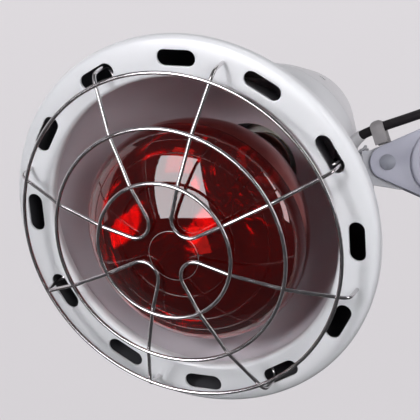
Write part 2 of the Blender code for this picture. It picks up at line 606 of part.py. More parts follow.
def make_materials():
    looks = {
        "white_paint": ((0.83, 0.84, 0.87), 0.35), "reflector_paint": ((0.78, 0.79, 0.82), 0.4),
        "cap_paint": ((0.72, 0.72, 0.75), 0.45), "grey_paint": ((0.52, 0.52, 0.56), 0.4),
        "lavender_paint": ((0.45, 0.45, 0.53), 0.38), "red_glass": ((0.5, 0.01, 0.01), 0.05),
        "ceramic": ((0.86, 0.84, 0.78), 0.5), "nylon": ((0.8, 0.8, 0.76), 0.5),
        "black_plastic": ((0.03, 0.03, 0.03), 0.45), "clip_plastic": ((0.35, 0.33, 0.34), 0.5),
        "boot_rubber": ((0.4, 0.39, 0.4), 0.6), "cord_black": ((0.02, 0.02, 0.02), 0.5),
        "tie_fabric": ((0.05, 0.05, 0.05), 0.8), "black_glass": ((0.02, 0.02, 0.03), 0.2),
        "clear_glass": ((0.8, 0.82, 0.82), 0.05),
    }
    metals = {
        "mirror_glass": ((0.6, 0.5, 0.5), 0.15), "chrome": ((0.7, 0.7, 0.7), 0.12),
        "brass": ((0.75, 0.57, 0.28), 0.3), "nickel": ((0.7, 0.69, 0.66), 0.25),
        "solder": ((0.6, 0.6, 0.6), 0.4), "tungsten": ((0.35, 0.34, 0.33), 0.4),
        "zinc_steel": ((0.6, 0.6, 0.58), 0.4), "bright_steel": ((0.65, 0.65, 0.66), 0.25),
        "rivet_steel": ((0.4, 0.4, 0.46), 0.35),
    }
    for name, (colour, roughness) in looks.items():
        MATERIALS[name] = material(name, colour, roughness)
    for name, (colour, roughness) in metals.items():
        MATERIALS[name] = material(name, colour, roughness, 1.0)


def main():
    clear_scene()
    make_materials()
    pivot = empty("arm_pivot", location=(-ARM_REACH, 0, 0))
    tilt = empty("tilt_pivot", pivot, (-CHEEK_PITCH, 0, 0))
    swivel = empty("swivel_axis", tilt, rotation=(0, 0, -YOKE_TURN))
    back = Vector((0, -cos(radians(LAMP_DROP)), -sin(radians(LAMP_DROP)))) * SWIVEL_BACK
    lamp = empty("lamp_axis", swivel, (-SWIVEL_OUT, back.y, back.z), (90 + LAMP_DROP, 0, 0))
    bulb_axis = empty("bulb_axis", lamp, (0, 0, SOCKET_Z), (*BULB_LEAN, 0))
    knob_axis = empty("knob_axis", pivot)
    front_ring(lamp)
    shade(lamp)
    rear_cap(lamp)
    cap_screws(lamp)
    lampholder(lamp, bulb_axis)
    bulb(bulb_axis)
    guard(lamp)
    mount_bracket(lamp)
    swivel_hardware(lamp)
    yoke(lamp, tilt, swivel)
    cheeks(tilt)
    friction_washers(tilt, pivot)
    pivot_hardware(pivot, knob_axis)
    arm(pivot)
    arch("cable_clip_front", CLIP_POINT, CLIP_LEAN, CLIP_YAW, CLIP_HEIGHT, CLIP_SIDE, tilt)
    rear_height = REAR_CLIP_POINT.z - BIG_END - 2 * GAP
    arch("cable_clip_rear", REAR_CLIP_POINT, REAR_CLIP_LEAN, 0, rear_height, 9.0, tilt)
    lead_ends(tilt)
    lead(tilt)
    plug(tilt)


main()
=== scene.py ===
"""Looks of an infrared heat lamp head on a two-pivot friction joint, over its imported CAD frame.

Pieces are drawn in millimetres, each in its own frame: the lamp's axis is local +Z, out of its mouth.
The camera, the stage and the lights are placed in metres.
"""

import json
from math import atan2, ceil, cos, degrees, hypot, pi, radians, sin

import bmesh
import bpy
from mathutils import Euler, Matrix, Vector, geometry


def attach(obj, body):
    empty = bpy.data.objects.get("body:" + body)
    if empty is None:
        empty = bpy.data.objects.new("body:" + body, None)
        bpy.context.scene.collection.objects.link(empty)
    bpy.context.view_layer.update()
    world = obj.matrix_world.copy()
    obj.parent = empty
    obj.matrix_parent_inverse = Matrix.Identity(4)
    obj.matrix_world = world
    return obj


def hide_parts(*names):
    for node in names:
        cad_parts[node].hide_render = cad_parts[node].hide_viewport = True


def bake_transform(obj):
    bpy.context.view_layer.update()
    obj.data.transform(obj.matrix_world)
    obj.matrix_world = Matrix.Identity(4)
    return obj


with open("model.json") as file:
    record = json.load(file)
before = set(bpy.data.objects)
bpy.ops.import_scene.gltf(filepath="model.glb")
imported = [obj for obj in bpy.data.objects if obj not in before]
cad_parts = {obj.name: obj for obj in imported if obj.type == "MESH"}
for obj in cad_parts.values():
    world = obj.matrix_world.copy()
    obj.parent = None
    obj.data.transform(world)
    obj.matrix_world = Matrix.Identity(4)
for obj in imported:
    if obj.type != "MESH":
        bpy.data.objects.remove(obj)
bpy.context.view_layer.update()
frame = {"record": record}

MM = 0.001

# clear space between neighbouring pieces, and where one stretch of the lead meets the next
GAP, LEAD_GAP = 0.3, 0.05

# angles and offsets that lead from the rivet to the lamp
YOKE_TURN = 24.7
LAMP_DROP = 21.6
BULB_LEAN = (1.6, 1.1)
SWIVEL_OUT, SWIVEL_BACK, SOCKET_Z = 80.4, 96.0, -126.0
BRACKET_FACE = 67.5

# shade, cap and bulb
RIM_R, OPENING_R, SHEET = 106.0, 83.5, 1.3
SLOT_R, SLOT_LENGTH, SLOT_WIDTH, SLOT_FIRST = 94.4, 22.0, 9.0, 25.0
COLLAR_R, CAP_FRONT, CAP_BACK, CAP_WALL = 52.6, -127.5, -182.0, 1.8
VENT_R, VENT_Z, VENT_FIRST, SCREW_X = 2.4, -150.0, 52.0, 14.0
BULB_R, BULB_DOME, FILAMENT_R, FILAMENT_Z = 62.5, 31.5, 11.0, -22.0
MARK_R, MARK_LINE = 14.0, 0.13

# wire guard: each ring's radius and height, then a loop's half angle and the centre of its bend
WIRE_R = 1.05
GUARD_RINGS = ((91.7, 18.2), (65.6, 30.2), (37.8, 35.9))
LOOP_SPREAD, LOOP_CENTRE = 24.0, 22.0

# cheeks and arm: a cheek runs from its inner to its outer face, out from the middle
CHEEK_PITCH, CHEEK_IN, CHEEK_OUT = 34.0, 6.5, 9.0
SMALL_END, BIG_END, DISC_R = 9.9, 23.5, 21.0
TONGUE, RIVET_HOLE, BOLT_HOLE = 5.0, 3.2, 4.4
ARM_REACH, TUBE_R, TUBE_BORE = 130.0, 9.5, 8.0

# supply lead, its boot, clips, coil and plug
CORD_R = 2.75
BOOT_BASE, BOOT_AIM = Vector((-22.3, 18.4, 5.4)), Vector((0.40, -0.74, 0.54)).normalized()
LEAD_BEND, BEND_REACH = Vector((-14.4, 3.7, 16.1)), 7.6
CLIP_POINT, CLIP_LEAN, CLIP_YAW, CLIP_HEIGHT = Vector((-4.2, 0.0, 19.7)), 18.0, -20.0, 9.3
CLIP_SIDE = CORD_R + 1.75
REAR_CLIP_POINT, REAR_CLIP_LEAN = Vector((34.0, 0.0, 31.0)), 6.0
COIL_X, COIL_Z, COIL_R = 90.0, -49.0, 30.0
PLUG_TOP = Vector((112.0, -8.0, -124.3))

# studio, in metres
LAMP_MIDDLE = Vector((-0.27, -0.05, -0.03))
KEY_REACH = Vector((-0.76, -0.94, 0.02))


# ---------------------------------------------------------------- frames and the record's names

def frame_at(parent, location=(0, 0, 0), rotation=(0, 0, 0)):
    turn = Euler([radians(a) for a in rotation]).to_matrix().to_4x4()
    return parent @ Matrix.Translation(Vector(location) * MM) @ turn


JOINTS = {joint["name"]: joint for joint in frame["record"]["behaviour"]["joints"]}
PIVOT = Matrix.Translation(Vector(JOINTS["arm_tilt"]["pos_m"]))
TILT = Matrix.Translation(Vector(JOINTS["head_tilt"]["pos_m"]))
SWIVEL = frame_at(TILT, rotation=(0, 0, -YOKE_TURN))
BACK = Vector((0, -cos(radians(LAMP_DROP)), -sin(radians(LAMP_DROP)))) * SWIVEL_BACK
LAMP = frame_at(SWIVEL, (-SWIVEL_OUT, BACK.y, BACK.z), (90 + LAMP_DROP, 0, 0))
BULB = frame_at(LAMP, (0, 0, SOCKET_Z), (*BULB_LEAN, 0))
WIDEST = frame_at(BULB, (0, 0, -SOCKET_Z))
GLAND = TILT @ Matrix.Translation(BOOT_BASE * MM) @ BOOT_AIM.to_track_quat("Z", "Y").to_matrix().to_4x4()
UPRIGHT = frame_at(TILT, rotation=(90, 0, 0))

SLOT_OF = {row["node"]: row["material_slot"] for row in frame["record"]["subparts"]}
BODY_OF = {node: body for body, nodes in frame["record"]["behaviour"]["bodies"].items() for node in nodes}
REPLACED = set()


# ---------------------------------------------------------------- mesh helpers

def polar(radius, angle, height=0.0):
    return Vector((radius * cos(radians(angle)), radius * sin(radians(angle)), height))


def arc(centre, radius, start, end, count):
    angles = [radians(start + (end - start) * i / (count - 1)) for i in range(count)]
    return [(centre[0] + radius * cos(a), centre[1] + radius * sin(a)) for a in angles]


def to_object(name, bm, matrix, sharp=35):
    """Finishes a mesh with its place in its vertices, so the object itself sits at the origin."""
    bm.transform(matrix)
    bmesh.ops.remove_doubles(bm, verts=bm.verts, dist=1e-7)
    bmesh.ops.recalc_face_normals(bm, faces=bm.faces)
    mesh = bpy.data.meshes.new(name)
    bm.to_mesh(mesh)
    bm.free()
    mesh.shade_smooth()
    mesh.set_sharp_from_angle(angle=radians(sharp))
    obj = bpy.data.objects.new(name, mesh)
    bpy.context.scene.collection.objects.link(obj)
    return obj


def turned(name, profile, matrix, steps=96, sharp=35):
    """A (radius, height) profile turned about local Z: a closed loop, or with its ends on the axis."""
    bm = bmesh.new()
    angles = [2 * pi * k / steps for k in range(steps)]
    rings = []
    for r, z in profile:
        on_axis = r < 1e-6
        around = angles[:1] if on_axis else angles
        rings.append([bm.verts.new((r * MM * cos(a), r * MM * sin(a), z * MM)) for a in around])
    pairs = list(zip(rings, rings[1:]))
    if len(rings[0]) > 1 and len(rings[-1]) > 1:
        pairs.append((rings[-1], rings[0]))
    for one, two in pairs:
        for k in range(steps):
            corners = [one[k % len(one)], one[(k + 1) % len(one)], two[(k + 1) % len(two)], two[k % len(two)]]
            corners = list(dict.fromkeys(corners))
            if len(corners) > 2:
                bm.faces.new(corners)
    return to_object(name, bm, matrix, sharp)


def wall(outer, thickness):
    """The closed loop of a sheet with one side at the given points."""
    inner = []
    for i, (r, z) in enumerate(outer):
        before, after = outer[max(i - 1, 0)], outer[min(i + 1, len(outer) - 1)]
        along = Vector((after[0] - before[0], after[1] - before[1])).normalized()
        inner.append((max(r + along.y * thickness, 0.0), z - along.x * thickness))
    return list(outer) + inner[::-1]


def smooth_curve(points, each):
    """A smooth curve through the given points, with a number of steps from each to the next."""
    ends = [2 * points[0] - points[1], *points, 2 * points[-1] - points[-2]]
    fine = []
    for before, a, b, after in zip(ends, ends[1:], ends[2:], ends[3:]):
        reach = (b - a).length / 3
        out_of_a = a + (b - before).normalized() * reach
        into_b = b - (after - a).normalized() * reach
        fine += geometry.interpolate_bezier(a, out_of_a, into_b, b, each + 1)[:-1]
    return [*fine, points[-1]]


def smooth_profile(points, each):
    """The same curve for a (radius, height) profile."""
    return [(p.x, p.y) for p in smooth_curve([Vector((r, z, 0)) for r, z in points], each)]


def add_prism(bm, outline, low, high):
    base = [bm.verts.new((x * MM, y * MM, low * MM)) for x, y in outline]
    face = bm.faces.new(base)
    raised = bmesh.ops.extrude_face_region(bm, geom=[face])["geom"]
    tops = [v for v in raised if isinstance(v, bmesh.types.BMVert)]
    bmesh.ops.translate(bm, verts=tops, vec=(0, 0, (high - low) * MM))


def prism(name, outline, low, high, matrix):
    bm = bmesh.new()
    add_prism(bm, outline, low, high)
    return to_object(name, bm, matrix)


def block(name, low, high, matrix):
    outline = [(low[0], low[1]), (high[0], low[1]), (high[0], high[1]), (low[0], high[1])]
    return prism(name, outline, low[2], high[2], matrix)


def rod(name, radius, low, high, matrix, steps=32):
    return turned(name, [(0, low), (radius, low), (radius, high), (0, high)], matrix, steps)


def rounded(corners, each=6):
    """An outline whose (x, y, radius) corners are rounded by short arcs."""
    outline = []
    for i, (x, y, radius) in enumerate(corners):
        here = Vector((x, y))
        back = (Vector(corners[i - 1][:2]) - here).normalized()
        on = (Vector(corners[(i + 1) % len(corners)][:2]) - here).normalized()
        half = back.angle(on) / 2
        middle = here + (back + on).normalized() * radius / sin(half)
        reach = radius * cos(half) / sin(half)
        first, last = here + back * reach - middle, here + on * reach - middle
        start = atan2(first.y, first.x)
        sweep = (atan2(last.y, last.x) - start + pi) % (2 * pi) - pi
        for k in range(each + 1):
            angle = start + sweep * k / each
            outline.append((middle.x + radius * cos(angle), middle.y + radius * sin(angle)))
    return outline


def boolean(obj, operation, *others):
    for other in others:
        other.hide_render = True
        other.hide_viewport = True
        other.display_type = "WIRE"
        made = obj.modifiers.new(other.name, "BOOLEAN")
        made.object = other
        made.operation = operation
        made.solver = "EXACT"
    return obj


def bake(obj):
    """Turns an object's modifiers into its mesh and drops the cutters it used."""
    bpy.context.view_layer.update()
    graph = bpy.context.evaluated_depsgraph_get()
    mesh = bpy.data.meshes.new_from_object(obj.evaluated_get(graph))
    cutters = {m.object for m in obj.modifiers if m.type == "BOOLEAN"}
    obj.modifiers.clear()
    obj.data = mesh
    for cutter in cutters:
        bpy.data.objects.remove(cutter, do_unlink=True)
    return obj


def soften(obj, width, segments, angle=40):
    """Rounds the edges that a mould, a press or a tumbler would round."""
    made = obj.modifiers.new("edges", "BEVEL")
    made.width = width * MM
    made.segments = segments
    made.limit_method = "ANGLE"
    made.angle_limit = radians(angle)
    made.harden_normals = False
    bake(obj)
    obj.data.shade_smooth()
    obj.data.set_sharp_from_angle(angle=radians(angle))
    return obj


def run_of(points):
    """A route's length."""
    return sum((q - p).length for p, q in zip(points, points[1:]))


def smooth_route(points, spacing):
    """Evenly spaced points on the smooth curve through the given ones."""
    fine = smooth_curve(points, 32)
    length = run_of(fine)
    step = length / max(round(length / spacing), 2)
    route, run = [fine[0]], 0.0
    for p, q in zip(fine, fine[1:]):
        piece = (q - p).length
        while run + piece >= step * len(route) and step * len(route) < length - step / 2:
            route.append(p.lerp(q, (step * len(route) - run) / piece))
        run += piece
    return [*route, fine[-1]]


def directions(points, cyclic):
    """The way along a route at each of its points."""
    count = len(points)
    ways = []
    for i, point in enumerate(points):
        before = points[i - 1] if cyclic or i else point
        after = points[(i + 1) % count] if cyclic or i < count - 1 else point
        ways.append((after - before).normalized())
    return ways


def tube(name, points, radius, matrix, sides, cyclic=False):
    """A round wire or cord along the points; the radius may be a list with one for each point."""
    bm = bmesh.new()
    ways = directions(points, cyclic)
    radii = radius if isinstance(radius, list) else [radius] * len(points)
    angles = [2 * pi * k / sides for k in range(sides)]
    side = ways[0].orthogonal().normalized()
    rings = []
    for point, way, r in zip(points, ways, radii):
        side = (side - way * side.dot(way)).normalized()
        up = way.cross(side)
        rings.append([bm.verts.new((point + side * r * cos(a) + up * r * sin(a)) * MM) for a in angles])
    pairs = list(zip(rings, rings[1:]))
    if cyclic:
        pairs.append((rings[-1], rings[0]))
    for one, two in pairs:
        shift = 0
        if two is rings[0]:
            shift = min(range(sides), key=lambda s: (one[0].co - two[s].co).length)
        for k in range(sides):
            a, b = (k + shift) % sides, (k + 1 + shift) % sides
            bm.faces.new([one[k], one[(k + 1) % sides], two[b], two[a]])
    if not cyclic:
        bm.faces.new(rings[0])
        bm.faces.new(rings[-1])
    return to_object(name, bm, matrix)


# ---------------------------------------------------------------- materials

MATERIALS = {}


class Finish:
    """A Principled material with room for procedural variation in its own object's space."""

    def __init__(self, name, colour, roughness, metallic=0.0):
        self.material = bpy.data.materials.new(name)
        self.material.use_nodes = True
        self.nodes = self.material.node_tree.nodes
        self.links = self.material.node_tree.links
        self.shader = self.nodes["Principled BSDF"]
        self.colour = colour
        self.set("Base Color", (*colour, 1.0))
        self.set("Roughness", roughness)
        self.set("Metallic", metallic)
        self.place = self.nodes.new("ShaderNodeTexCoord").outputs["Object"]
        self.height = None
        MATERIALS[name] = self.material

    def set(self, socket, value):
        self.shader.inputs[socket].default_value = value
        return self

    def noise(self, scale, detail):
        made = self.nodes.new("ShaderNodeTexNoise")
        made.inputs["Scale"].default_value = scale
        made.inputs["Detail"].default_value = detail
        self.links.new(self.place, made.inputs["Vector"])
        return made.outputs["Fac"]

    def remap(self, source, taken, given):
        """Maps a value from one (low, high) range to another."""
        made = self.nodes.new("ShaderNodeMapRange")
        for socket, value in zip(("From Min", "From Max", "To Min", "To Max"), (*taken, *given)):
            made.inputs[socket].default_value = value
        self.links.new(source, made.inputs["Value"])
        return made.outputs["Result"]

    def mottle(self, other, scale):
        """Varies the colour between the base one and another."""
        ramp = self.nodes.new("ShaderNodeValToRGB")
        ramp.color_ramp.elements[0].position = 0.35
        ramp.color_ramp.elements[1].position = 0.68
        ramp.color_ramp.elements[0].color = (*self.colour, 1.0)
        ramp.color_ramp.elements[1].color = (*other, 1.0)
        self.links.new(self.noise(scale, 3.0), ramp.inputs["Fac"])
        self.links.new(ramp.outputs["Color"], self.shader.inputs["Base Color"])
        return self

    def gloss_range(self, low, high, scale):
        source = self.remap(self.noise(scale, 2.0), (0.3, 0.7), (low, high))
        self.links.new(source, self.shader.inputs["Roughness"])
        return self

    def bump(self, scale, depth, detail=2.0):
        """A height texture; the depth is in millimetres."""
        made = self.nodes.new("ShaderNodeBump")
        made.inputs["Distance"].default_value = depth * MM
        made.inputs["Strength"].default_value = 1.0
        self.links.new(self.noise(scale, detail), made.inputs["Height"])
        if self.height:
            self.links.new(self.height, made.inputs["Normal"])
        self.height = made.outputs["Normal"]
        self.links.new(self.height, self.shader.inputs["Normal"])
        return self


def enamel(name, colour, shade, roughness):
    """Stoved enamel: a faint orange peel and a slightly uneven gloss."""
    made = Finish(name, colour, roughness)
    made.mottle(shade, 22.0).gloss_range(roughness - 0.015, roughness + 0.02, 60.0)
    made.bump(900.0, 0.006)
    made.set("Coat Weight", 0.25).set("Coat Roughness", 0.12)
    return made


def metal(name, colour, shade, roughness, scratch=0.004):
    """Bare or plated metal with fine wear."""
    made = Finish(name, colour, roughness, 1.0)
    made.mottle(shade, 90.0).gloss_range(roughness * 0.75, roughness * 1.35, 240.0)
    made.bump(1500.0, scratch)
    return made


def moulding(name, colour, shade, roughness, grain=0.02):
    """Moulded plastic or rubber with a fine texture."""
    made = Finish(name, colour, roughness)
    made.mottle(shade, 160.0).gloss_range(roughness - 0.06, roughness + 0.08, 300.0)
    made.bump(2600.0, grain)
    return made


def glass(name, colour, roughness, ior):
    made = Finish(name, colour, roughness)
    made.set("Transmission Weight", 1.0).set("IOR", ior)
    return made


def make_materials():
    make_paints()
    make_metals()
    make_mouldings()
    glass("clear_glass", (0.9, 0.92, 0.92), 0.02, 1.46)
    ruby = glass("red_glass", (0.50, 0.012, 0.008), 0.01, 1.5)
    ruby.set("Transmission Weight", 0.95).set("Coat Weight", 0.8)
    mirror = metal("mirror_glass", (0.86, 0.30, 0.26), (0.70, 0.20, 0.17), 0.06)
    mirror.bump(34.0, 1.2, detail=0.0)


def make_paints():
    enamel("white_paint", (0.75, 0.76, 0.79), (0.74, 0.75, 0.782), 0.30)
    enamel("cap_paint", (0.70, 0.70, 0.73), (0.69, 0.69, 0.72), 0.38)
    enamel("grey_paint", (0.50, 0.50, 0.54), (0.46, 0.46, 0.50), 0.36)
    enamel("lavender_paint", (0.48, 0.48, 0.575), (0.45, 0.45, 0.54), 0.34)
    # painted shade: a near-black enamel for the shell's inside, standing in for the shade seen through the
    # slots
    enamel("painted_shade_dark", (0.05, 0.05, 0.055), (0.035, 0.035, 0.04), 0.5)
    enamel("reflector_paint", (0.56, 0.54, 0.59), (0.55, 0.53, 0.58), 0.30)


def make_metals():
    metal("chrome", (0.72, 0.70, 0.71), (0.58, 0.56, 0.57), 0.20)
    rivet_steel = metal("rivet_steel", (0.38, 0.39, 0.45), (0.34, 0.35, 0.41), 0.42)
    rivet_steel.set("Metallic", 0.25)
    bright_steel = metal("bright_steel", (0.62, 0.62, 0.63), (0.58, 0.58, 0.59), 0.36, scratch=0.001)
    bright_steel.set("Metallic", 0.5)
    metal("zinc_steel", (0.60, 0.60, 0.58), (0.54, 0.55, 0.54), 0.38, scratch=0.001)
    metal("brass", (0.75, 0.57, 0.28), (0.62, 0.45, 0.2), 0.28)
    metal("nickel", (0.68, 0.67, 0.63), (0.62, 0.61, 0.575), 0.32, scratch=0.001)
    metal("solder", (0.58, 0.58, 0.58), (0.44, 0.44, 0.45), 0.4)
    metal("tungsten", (0.33, 0.32, 0.32), (0.24, 0.23, 0.23), 0.36)


def make_mouldings():
    moulding("ceramic", (0.82, 0.80, 0.74), (0.74, 0.71, 0.65), 0.42, 0.01)
    moulding("nylon", (0.76, 0.76, 0.72), (0.68, 0.68, 0.64), 0.46)
    moulding("black_plastic", (0.022, 0.022, 0.024), (0.032, 0.032, 0.034), 0.42, 0.03)
    moulding("clip_plastic", (0.38, 0.36, 0.37), (0.33, 0.31, 0.32), 0.44)
    moulding("boot_rubber", (0.74, 0.73, 0.75), (0.68, 0.67, 0.69), 0.50)
    cord = moulding("cord_black", (0.012, 0.010, 0.012), (0.018, 0.015, 0.017), 0.50, 0.03)
    cord.set("Specular IOR Level", 0.25)
    moulding("tie_fabric", (0.03, 0.03, 0.032), (0.055, 0.055, 0.06), 0.85, 0.12)
    moulding("black_glass", (0.015, 0.015, 0.02), (0.03, 0.03, 0.04), 0.16, 0.01)


# ---------------------------------------------------------------- how pieces join the frame

def dress(obj, *nodes, finish=None, body=None):
    """Puts a detailed piece in its CAD nodes' place, on their body and with their finish."""
    slot = finish or SLOT_OF[nodes[0]]
    obj.data.materials.clear()
    obj.data.materials.append(MATERIALS[slot])
    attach(obj, body or BODY_OF[nodes[0]])
    if nodes:
        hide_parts(*nodes)
        REPLACED.update(nodes)
    return obj


def dress_the_rest():
    """CAD nodes that keep their own shape get their finish."""
    for node, slot in SLOT_OF.items():
        if node not in REPLACED:
            for place in bpy.data.objects[node].material_slots:
                place.material = MATERIALS[slot]


# ---------------------------------------------------------------- camera, stage and lights

def camera():
    made = bpy.data.cameras.new("camera")
    made.lens, made.sensor_width = 137.6, 36.0
    made.clip_start = 0.05
    obj = bpy.data.objects.new("camera", made)
    bpy.context.scene.collection.objects.link(obj)
    obj.location = (-0.2640, -0.9129, -0.0269)
    obj.rotation_euler = (radians(90), 0, 0)
    bpy.context.scene.camera = obj


def area_light(name, offset, width, height, power, colour=(1.0, 1.0, 1.0)):
    """A soft box at an offset from the lamp's middle, and facing it."""
    made = bpy.data.lights.new(name, "AREA")
    made.shape = "RECTANGLE"
    made.size, made.size_y = width, height
    made.energy = power
    made.color = colour
    obj = bpy.data.objects.new(name, made)
    bpy.context.scene.collection.objects.link(obj)
    obj.location = LAMP_MIDDLE + Vector(offset)
    obj.rotation_euler = (LAMP_MIDDLE - obj.location).to_track_quat("-Z", "Y").to_euler()
    return obj


def stage():
    """A pale floor that sweeps up into a backdrop all round, as evenly bright as lit paper."""
    floor, reach, sweep, top, thick = -620.0, 2600.0, 1400.0, 2800.0, 20.0
    bend = arc((reach, floor + sweep), sweep, -90, 0, 13)
    disc = [(0, floor), (reach, floor), (reach, floor - thick), (0, floor - thick)]
    backdrop = turned("backdrop", wall([*bend, (reach + sweep, top)], thick), Matrix.Identity(4))
    ground = turned("ground", disc, Matrix.Identity(4))
    paper = Finish("stage_paper", (0.16, 0.155, 0.16), 0.9)
    paper.mottle((0.15, 0.145, 0.15), 3.0).bump(400.0, 0.05)
    paper.set("Emission Color", (1.0, 0.965, 1.0, 1.0))
    split = paper.nodes.new("ShaderNodeSeparateXYZ")
    paper.links.new(paper.place, split.inputs["Vector"])
    glow = paper.remap(split.outputs["Z"], (-0.6, 0.7), (0.59, 0.66))
    paper.links.new(glow, paper.shader.inputs["Emission Strength"])
    for obj in (backdrop, ground):
        obj.data.materials.append(paper.material)
    for ray in ("diffuse", "glossy", "transmission"):
        setattr(ground, f"visible_{ray}", False)


def dark_room():
    """The unlit side of the studio, which the camera itself doesn't see."""
    radius, open_from = 1.9, 0.35
    bm = bmesh.new()
    bmesh.ops.create_uvsphere(bm, u_segments=48, v_segments=24, radius=radius)
    behind = [v for v in bm.verts if v.co.y > open_from]
    bmesh.ops.delete(bm, geom=behind, context="VERTS")
    shell = to_object("dark_room", bm, Matrix.Translation((LAMP_MIDDLE.x, LAMP_MIDDLE.y, 0.0)))
    shell.visible_camera = False
    shell.visible_shadow = False
    cloth = Finish("dark_cloth", (0.10, 0.10, 0.105), 1.0)
    cloth.mottle((0.08, 0.08, 0.085), 2.0)
    cloth.set("Emission Color", (1.0, 0.98, 1.0, 1.0)).set("Emission Strength", 0.025)
    shell.data.materials.append(cloth.material)


def key_card(name, middle, width, height, share, strength, shown_in):
    """A bright face of the key light, at a share of its reach, for the one kind of ray it is shown in."""
    left, right = middle[0] - width / 2, middle[0] + width / 2
    low, high = middle[1] - height / 2, middle[1] + height / 2
    corners = ((left, low), (right, low), (right, high), (left, high))
    bm = bmesh.new()
    bm.faces.new([bm.verts.new((x, y, 0)) for x, y in corners])
    turn = (-KEY_REACH).to_track_quat("-Z", "Y").to_matrix().to_4x4()
    card = to_object(name, bm, Matrix.Translation(LAMP_MIDDLE + KEY_REACH * share) @ turn)
    for ray in ("camera", "diffuse", "glossy", "transmission", "shadow"):
        setattr(card, f"visible_{ray}", ray == shown_in)
    glow = Finish(f"{name}_glow", (0.0, 0.0, 0.0), 1.0)
    glow.set("Emission Color", (1.0, 0.97, 1.0, 1.0)).set("Emission Strength", strength)
    card.data.materials.append(glow.material)


def key_cards():
    key_card("gloss_card", (0, 0), 0.70, 1.20, 0.99, 6.0, "glossy")
    key_card("glass_card_high", (0.0, 0.62), 0.44, 0.88, 0.98, 8.0, "transmission")
    key_card("glass_card_low", (0.05, -0.95), 0.30, 0.50, 0.97, 9.0, "transmission")


def lights():
    key = area_light("key", (-0.67, -1.02, 0.22), 0.30, 0.30, 9.5, (1.0, 0.99, 1.0))
    area_light("right_fill", (1.25, -0.55, 0.35), 0.30, 1.10, 4.4, (1.0, 0.98, 1.0))
    area_light("top", (0.0, 0.40, 1.5), 1.0, 1.0, 3.4)
    front = area_light("front_fill", (0.40, -1.2, 0.15), 0.5, 0.5, 8.0)
    rear = area_light("rear_fill", (-0.8, 1.2, 0.6), 1.0, 1.0, 9.0)
    for light in (key, front, rear):
        light.visible_glossy = False
        light.visible_transmission = False
    world = bpy.data.worlds.new("studio")
    bpy.context.scene.world = world
    world.use_nodes = True
    shader = world.node_tree.nodes["Background"]
    shader.inputs["Color"].default_value = (0.93, 0.90, 0.93, 1.0)
    shader.inputs["Strength"].default_value = 0.09
    bpy.context.scene.view_settings.view_transform = "Standard"


def studio():
    camera()
    stage()
    dark_room()
    key_cards()
    lights()


# ---------------------------------------------------------------- supply lead

def heading(lean, yaw=0.0):
    """A direction that leans up from +X, then turns by a yaw."""
    level = cos(radians(lean))
    return Vector((level * cos(radians(yaw)), level * sin(radians(yaw)), sin(radians(lean))))


def bend_between(obj, slot, nodes):
    """Gives a soft piece its finish, fixes its place into its mesh and hides the CAD nodes that it stands
    for.
    """
    obj.data.materials.append(MATERIALS[slot])
    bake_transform(obj)
    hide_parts(*nodes)
    REPLACED.update(nodes)


def place_cord(name, points, nodes):
    """A free stretch of the lead between two bodies, with its finish."""
    obj = tube(name, points, CORD_R, TILT, sides=16)
    bend_between(obj, "cord_black", nodes)


def coil_points():
    """Eight turns in three layers: each change of turn is made where the turn beside it lies still.

    A stop is the turn where a change starts, and its steps out by a layer and across by a column.
    """
    pitch = 2 * CORD_R + 0.05
    stops = [(0.85, 0, -1), (1.85, 0, -1), (2.70, -1, 0), (3.55, 0, 1), (4.55, 0, 1), (5.40, -1, 0),
             (6.25, 0, -1), (7.25, 0, -1)]
    per_turn, turns, change = 24, 7.9, 0.15
    points = []
    for k in range(1, int(per_turn * turns) + 1):
        turn = k / per_turn
        layer, column = 1.0, 1.0
        for start, d_layer, d_column in stops:
            share = min(max((turn - start) / change, 0.0), 1.0)
            share = share * share * (3 - 2 * share)
            layer += d_layer * share
            column += d_column * share
        angle = -2 * pi * turn
        r = COIL_R + layer * pitch
        points.append(Vector((COIL_X + r * cos(angle), column * pitch, COIL_Z + r * sin(angle))))
    return points


def lead_from_head():
    """Out of the gland, inside its boot, and round a bend to the front clip."""
    ahead = heading(CLIP_LEAN, CLIP_YAW)
    start, end = LEAD_BEND - BOOT_AIM * BEND_REACH, LEAD_BEND + ahead * BEND_REACH
    middle = (start + 2 * LEAD_BEND + end) / 4
    inside_shade, boot_from, boot_past_bend = 9.0, 9.8, 8.0
    head = [BOOT_BASE - BOOT_AIM * inside_shade, BOOT_BASE, BOOT_BASE + BOOT_AIM * 6, start, middle, end,
            CLIP_POINT - ahead * LEAD_GAP]
    route = smooth_route(head, 1.5)
    place_cord("lead_head_cord", route, ["lead_head"])
    share = (run_of(head[1:4]) + boot_past_bend + inside_shade) / run_of(head)
    inside = route[int(len(route) * boot_from / run_of(route)): ceil(len(route) * share)]
    thick, thin = 4.7, 3.15
    taper = [thick - (thick - thin) * k / (len(inside) - 1) for k in range(len(inside))]
    boot = tube("lead_boot_moulding", inside, taper, TILT, sides=24)
    bend_between(boot, "boot_rubber", ["lead_boot"])


def lead_over_cheek():
    """A low arch from the front clip to the rear one."""
    ahead, rear = heading(CLIP_LEAN, CLIP_YAW), heading(REAR_CLIP_LEAN)
    cheek = [CLIP_POINT + ahead * LEAD_GAP, CLIP_POINT + ahead * 5, Vector((9.8, -2.4, 24.4)),
             Vector((18.6, -1.2, 27.4)), REAR_CLIP_POINT - rear * 7, REAR_CLIP_POINT - rear * LEAD_GAP]
    place_cord("lead_cheek_cord", smooth_route(cheek, 2.0),
               ["lead_cheek"])


